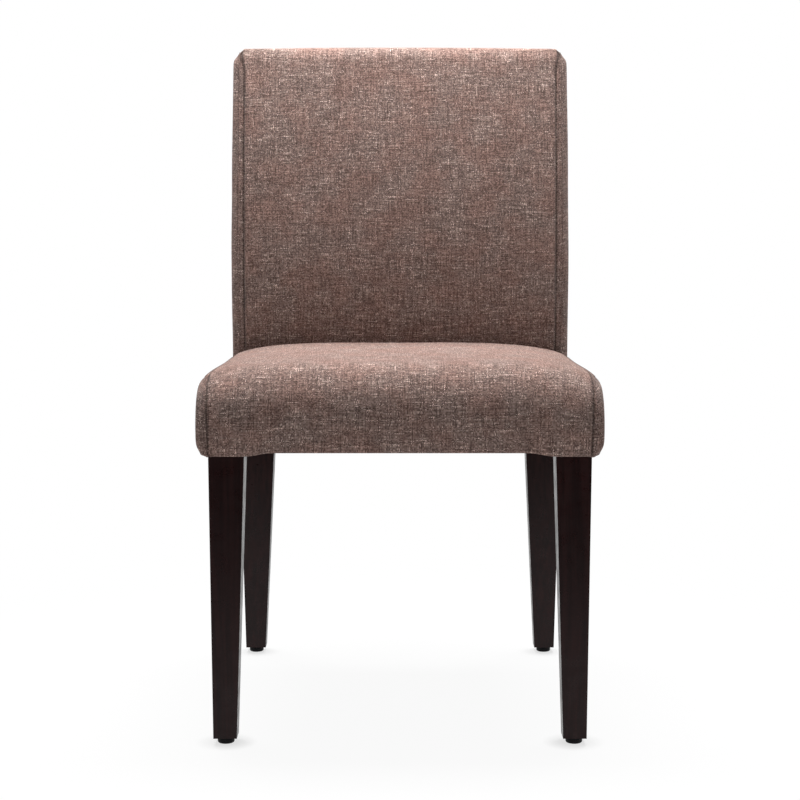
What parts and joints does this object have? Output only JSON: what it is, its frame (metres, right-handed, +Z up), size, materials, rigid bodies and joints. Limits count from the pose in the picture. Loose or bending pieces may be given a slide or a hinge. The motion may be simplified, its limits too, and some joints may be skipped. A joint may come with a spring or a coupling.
{
  "type": "banquet chair",
  "caption": "Upholstered dining side chair with a crowned, waterfall-front seat, a leaning padded back and tapered dark wooden legs on levelling glides.",
  "frame": {"origin": "on the floor, under the middle of the chair's box", "axes": "+Z up, +X to the right when looking at the front, the chair faces -Y"},
  "size_m": [0.5252, 0.5657, 0.943],
  "materials": {
    "stained_wood": "dark espresso stain under semi-gloss lacquer",
    "frame_wood": "sawn and sanded beech, unfinished",
    "webbing": "woven elastic webbing",
    "foam": "polyurethane foam",
    "wadding": "polyester wadding",
    "upholstery": "brown-mauve linen-look tweed",
    "dust_cloth": "black non-woven cambric",
    "glide": "black nylon",
    "steel": "zinc plated"
  },
  "bodies": {
    "chair": {"back_foam": "foam", "back_front_cover": "upholstery", "back_left_cover": "upholstery", "back_left_wadding": "wadding", "back_outside_cover": "upholstery", "back_rear_wadding": "wadding", "back_right_cover": "upholstery", "back_right_wadding": "wadding", "back_webbing_across": "webbing", "back_webbing_upright": "webbing", "crest_rail": "frame_wood", "crest_rail_tenons": "frame_wood", "dust_cover": "dust_cloth", "front_left_corner_block": "frame_wood", "front_left_leg": "stained_wood", "front_left_t_nut": "steel", "front_right_corner_block": "frame_wood", "front_right_leg": "stained_wood", "front_right_t_nut": "steel", "front_seat_rail": "frame_wood", "front_seat_rail_tenons": "frame_wood", "left_seat_rail": "frame_wood", "left_seat_rail_tenons": "frame_wood", "lower_back_rail": "frame_wood", "lower_back_rail_tenons": "frame_wood", "rear_left_corner_block": "frame_wood", "rear_left_leg": "stained_wood", "rear_left_t_nut": "steel", "rear_right_corner_block": "frame_wood", "rear_right_leg": "stained_wood", "rear_right_t_nut": "steel", "rear_seat_rail": "frame_wood", "rear_seat_rail_tenons": "frame_wood", "right_seat_rail": "frame_wood", "right_seat_rail_tenons": "frame_wood", "seat_foam": "foam", "seat_front_wadding": "wadding", "seat_left_cover": "upholstery", "seat_left_wadding": "wadding", "seat_right_cover": "upholstery", "seat_right_wadding": "wadding", "seat_top_cover": "upholstery", "seat_webbing_crosswise": "webbing", "seat_webbing_lengthwise": "webbing"},
    "front_left_glide": {"front_left_glide_base": "glide", "front_left_glide_stem": "steel"},
    "front_right_glide": {"front_right_glide_base": "glide", "front_right_glide_stem": "steel"},
    "rear_left_glide": {"rear_left_glide_base": "glide", "rear_left_glide_stem": "steel"},
    "rear_right_glide": {"rear_right_glide_base": "glide", "rear_right_glide_stem": "steel"}
  },
  "joints": [
    {"name": "front_left_glide_screw", "type": "slide", "parent": "chair", "child": "front_left_glide", "axis": [0, 0, -1], "range_m": [0, 0.008]},
    {"name": "front_right_glide_screw", "type": "slide", "parent": "chair", "child": "front_right_glide", "axis": [0, 0, -1], "range_m": [0, 0.008]},
    {"name": "rear_left_glide_screw", "type": "slide", "parent": "chair", "child": "rear_left_glide", "axis": [0, 0, -1], "range_m": [0, 0.008]},
    {"name": "rear_right_glide_screw", "type": "slide", "parent": "chair", "child": "rear_right_glide", "axis": [0, 0, -1], "range_m": [0, 0.008]}
  ]
}
